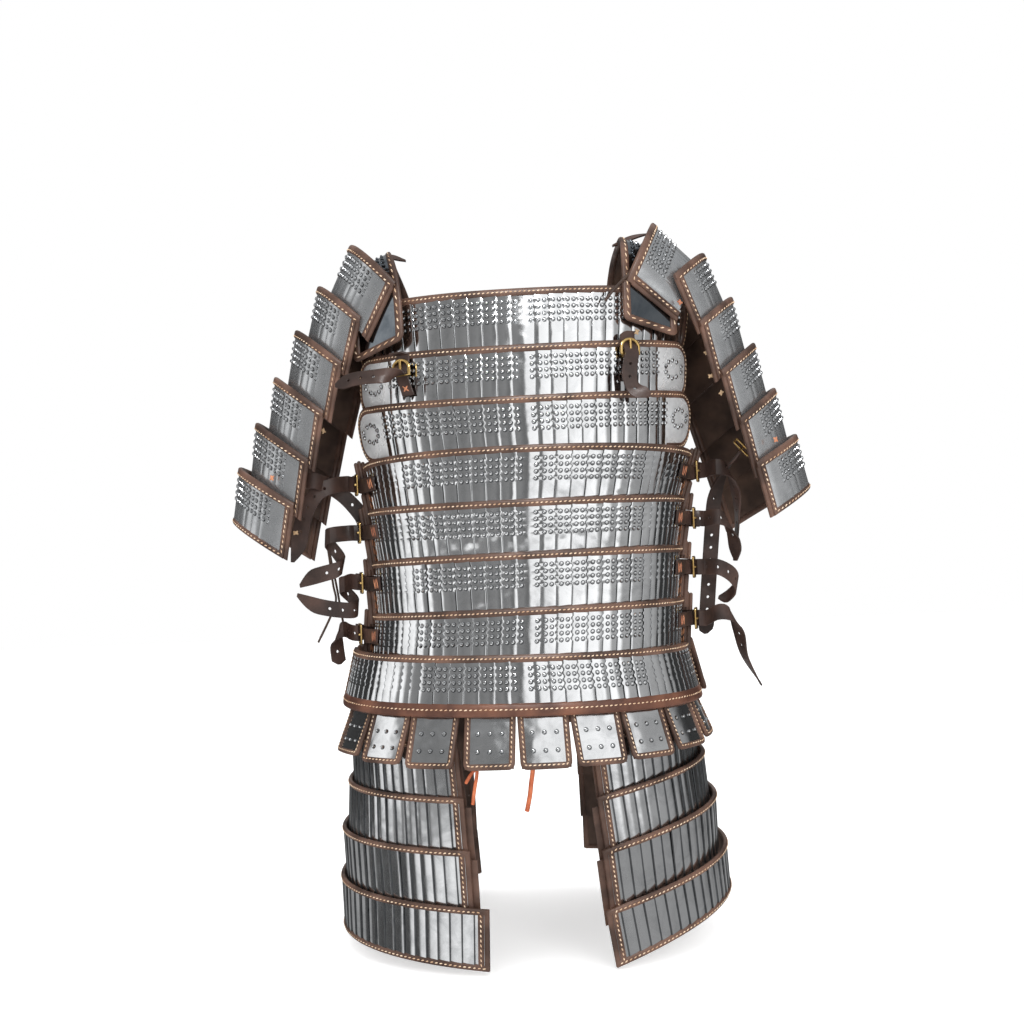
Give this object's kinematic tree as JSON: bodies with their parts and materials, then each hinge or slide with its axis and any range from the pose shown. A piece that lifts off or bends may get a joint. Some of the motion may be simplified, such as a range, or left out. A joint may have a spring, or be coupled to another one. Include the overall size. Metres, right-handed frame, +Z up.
{
  "type": "lamellar armour",
  "caption": "Worn coat of lamellar armour: rows of steel plates on leather bands, with arm guards, waist tabs and a split skirt.",
  "frame": {"origin": "where the wearer's shoulders hold it up, midway between front and back, near the crests of the shoulder plates", "axes": "+Z up, the front faces -Y, +X to the viewer's right as seen from the front"},
  "size_m": [0.7378, 0.3668, 0.888],
  "materials": {
    "arm_left_1": "polished steel plates on a brown leather band",
    "arm_left_2": "polished steel plates on a brown leather band",
    "arm_left_3": "polished steel plates on a brown leather band",
    "arm_left_4": "polished steel plates on a brown leather band",
    "arm_left_5": "polished steel plates on a brown leather band",
    "arm_left_6": "polished steel plates on a brown leather band",
    "arm_right_1": "polished steel plates on a brown leather band",
    "arm_right_2": "polished steel plates on a brown leather band",
    "arm_right_3": "polished steel plates on a brown leather band",
    "arm_right_4": "polished steel plates on a brown leather band",
    "arm_right_5": "polished steel plates on a brown leather band",
    "arm_right_6": "polished steel plates on a brown leather band",
    "back_row_1": "polished steel plates on a brown leather band",
    "back_row_2": "polished steel plates on a brown leather band",
    "back_row_3": "polished steel plates on a brown leather band",
    "back_row_4": "polished steel plates on a brown leather band",
    "back_row_5": "polished steel plates on a brown leather band",
    "back_row_6": "polished steel plates on a brown leather band",
    "back_row_7": "polished steel plates on a brown leather band",
    "back_row_8": "polished steel plates on a brown leather band",
    "front_row_1": "polished steel plates on a brown leather band",
    "front_row_2": "polished steel plates on a brown leather band",
    "front_row_3": "polished steel plates on a brown leather band",
    "front_row_4": "polished steel plates on a brown leather band",
    "front_row_5": "polished steel plates on a brown leather band",
    "front_row_6": "polished steel plates on a brown leather band",
    "front_row_7": "polished steel plates on a brown leather band",
    "front_row_8": "polished steel plates on a brown leather band",
    "shoulder_buckle_left": "dark brown leather chape with a brass frame",
    "shoulder_buckle_right": "dark brown leather chape with a brass frame",
    "shoulder_left": "polished steel plates on a brown leather band",
    "shoulder_right": "polished steel plates on a brown leather band",
    "shoulder_strap_left": "dark brown strap leather",
    "shoulder_strap_right": "dark brown strap leather",
    "side_buckle_left_1": "dark brown leather chape with a brass frame",
    "side_buckle_left_2": "dark brown leather chape with a brass frame",
    "side_buckle_left_3": "dark brown leather chape with a brass frame",
    "side_buckle_left_4": "dark brown leather chape with a brass frame",
    "side_buckle_right_1": "dark brown leather chape with a brass frame",
    "side_buckle_right_2": "dark brown leather chape with a brass frame",
    "side_buckle_right_3": "dark brown leather chape with a brass frame",
    "side_buckle_right_4": "dark brown leather chape with a brass frame",
    "side_strap_left_1": "dark brown strap leather",
    "side_strap_left_2": "dark brown strap leather",
    "side_strap_left_3": "dark brown strap leather",
    "side_strap_left_4": "dark brown strap leather",
    "side_strap_right_1": "dark brown strap leather",
    "side_strap_right_2": "dark brown strap leather",
    "side_strap_right_3": "dark brown strap leather",
    "side_strap_right_4": "dark brown strap leather",
    "skirt_left_1": "polished steel plates on a brown leather band",
    "skirt_left_2": "polished steel plates on a brown leather band",
    "skirt_left_3": "polished steel plates on a brown leather band",
    "skirt_left_4": "polished steel plates on a brown leather band",
    "skirt_right_1": "polished steel plates on a brown leather band",
    "skirt_right_2": "polished steel plates on a brown leather band",
    "skirt_right_3": "polished steel plates on a brown leather band",
    "skirt_right_4": "polished steel plates on a brown leather band",
    "tabs_back": "polished steel plates on a brown leather band",
    "tabs_front": "polished steel plates on a brown leather band"
  },
  "bodies": {
    "root": {"arm_left_1": "arm_left_1", "arm_left_2": "arm_left_2", "arm_left_3": "arm_left_3", "arm_left_4": "arm_left_4", "arm_left_5": "arm_left_5", "arm_left_6": "arm_left_6", "arm_right_1": "arm_right_1", "arm_right_2": "arm_right_2", "arm_right_3": "arm_right_3", "arm_right_4": "arm_right_4", "arm_right_5": "arm_right_5", "arm_right_6": "arm_right_6", "back_row_1": "back_row_1", "back_row_2": "back_row_2", "back_row_3": "back_row_3", "back_row_4": "back_row_4", "back_row_5": "back_row_5", "back_row_6": "back_row_6", "back_row_7": "back_row_7", "back_row_8": "back_row_8", "front_row_1": "front_row_1", "front_row_2": "front_row_2", "front_row_3": "front_row_3", "front_row_4": "front_row_4", "front_row_5": "front_row_5", "front_row_6": "front_row_6", "front_row_7": "front_row_7", "front_row_8": "front_row_8", "shoulder_buckle_left": "shoulder_buckle_left", "shoulder_buckle_right": "shoulder_buckle_right", "shoulder_left": "shoulder_left", "shoulder_right": "shoulder_right", "shoulder_strap_left": "shoulder_strap_left", "shoulder_strap_right": "shoulder_strap_right", "side_buckle_left_1": "side_buckle_left_1", "side_buckle_left_2": "side_buckle_left_2", "side_buckle_left_3": "side_buckle_left_3", "side_buckle_left_4": "side_buckle_left_4", "side_buckle_right_1": "side_buckle_right_1", "side_buckle_right_2": "side_buckle_right_2", "side_buckle_right_3": "side_buckle_right_3", "side_buckle_right_4": "side_buckle_right_4", "side_strap_left_1": "side_strap_left_1", "side_strap_left_2": "side_strap_left_2", "side_strap_left_3": "side_strap_left_3", "side_strap_left_4": "side_strap_left_4", "side_strap_right_1": "side_strap_right_1", "side_strap_right_2": "side_strap_right_2", "side_strap_right_3": "side_strap_right_3", "side_strap_right_4": "side_strap_right_4", "skirt_left_1": "skirt_left_1", "skirt_left_2": "skirt_left_2", "skirt_left_3": "skirt_left_3", "skirt_left_4": "skirt_left_4", "skirt_right_1": "skirt_right_1", "skirt_right_2": "skirt_right_2", "skirt_right_3": "skirt_right_3", "skirt_right_4": "skirt_right_4", "tabs_back": "tabs_back", "tabs_front": "tabs_front"}
  },
  "joints": []
}
